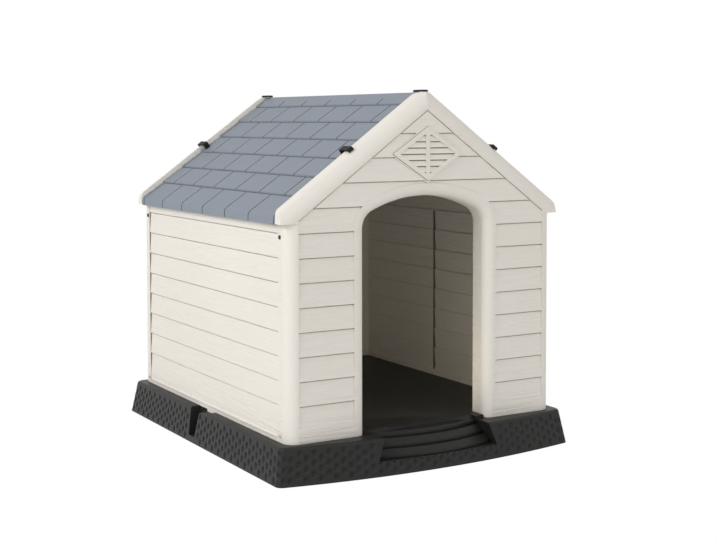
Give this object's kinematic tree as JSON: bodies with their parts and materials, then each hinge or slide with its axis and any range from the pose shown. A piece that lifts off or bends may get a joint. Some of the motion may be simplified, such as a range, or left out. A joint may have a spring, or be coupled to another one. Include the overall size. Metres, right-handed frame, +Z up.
{
  "type": "dog house",
  "caption": "Moulded plastic dog house with lapped siding, an arched open doorway, a louvred gable vent and a shingled gable roof on a flared dark base tray.",
  "frame": {"origin": "bottom centre of the whole object, on the surface it stands on, under the middle of the base tray", "axes": "+Z up, the doorway faces -Y, +X to the right as seen from the front"},
  "size_m": [0.75, 0.8799, 0.8098],
  "materials": {
    "wall_plastic": "satin moulded, fine embossed wood grain",
    "roof_plastic": "matte moulded shingles",
    "base_plastic": "matte moulded, dimpled skirt",
    "clip_plastic": "matte",
    "screw_steel": "black, satin"
  },
  "bodies": {
    "root": {"base_front": "base_plastic", "base_rear": "base_plastic", "front_wall": "wall_plastic", "rear_wall": "wall_plastic", "left_wall": "wall_plastic", "right_wall": "wall_plastic", "gable_vent": "wall_plastic", "roof_left": "roof_plastic", "roof_right": "roof_plastic", "clip_front_ridge": "clip_plastic", "clip_front_left": "clip_plastic", "clip_front_right": "clip_plastic", "clip_rear_ridge": "clip_plastic", "clip_rear_left": "clip_plastic", "clip_rear_right": "clip_plastic", "screws_front_left": "screw_steel", "screws_front_right": "screw_steel", "screws_rear_left": "screw_steel", "screws_rear_right": "screw_steel"}
  },
  "joints": []
}
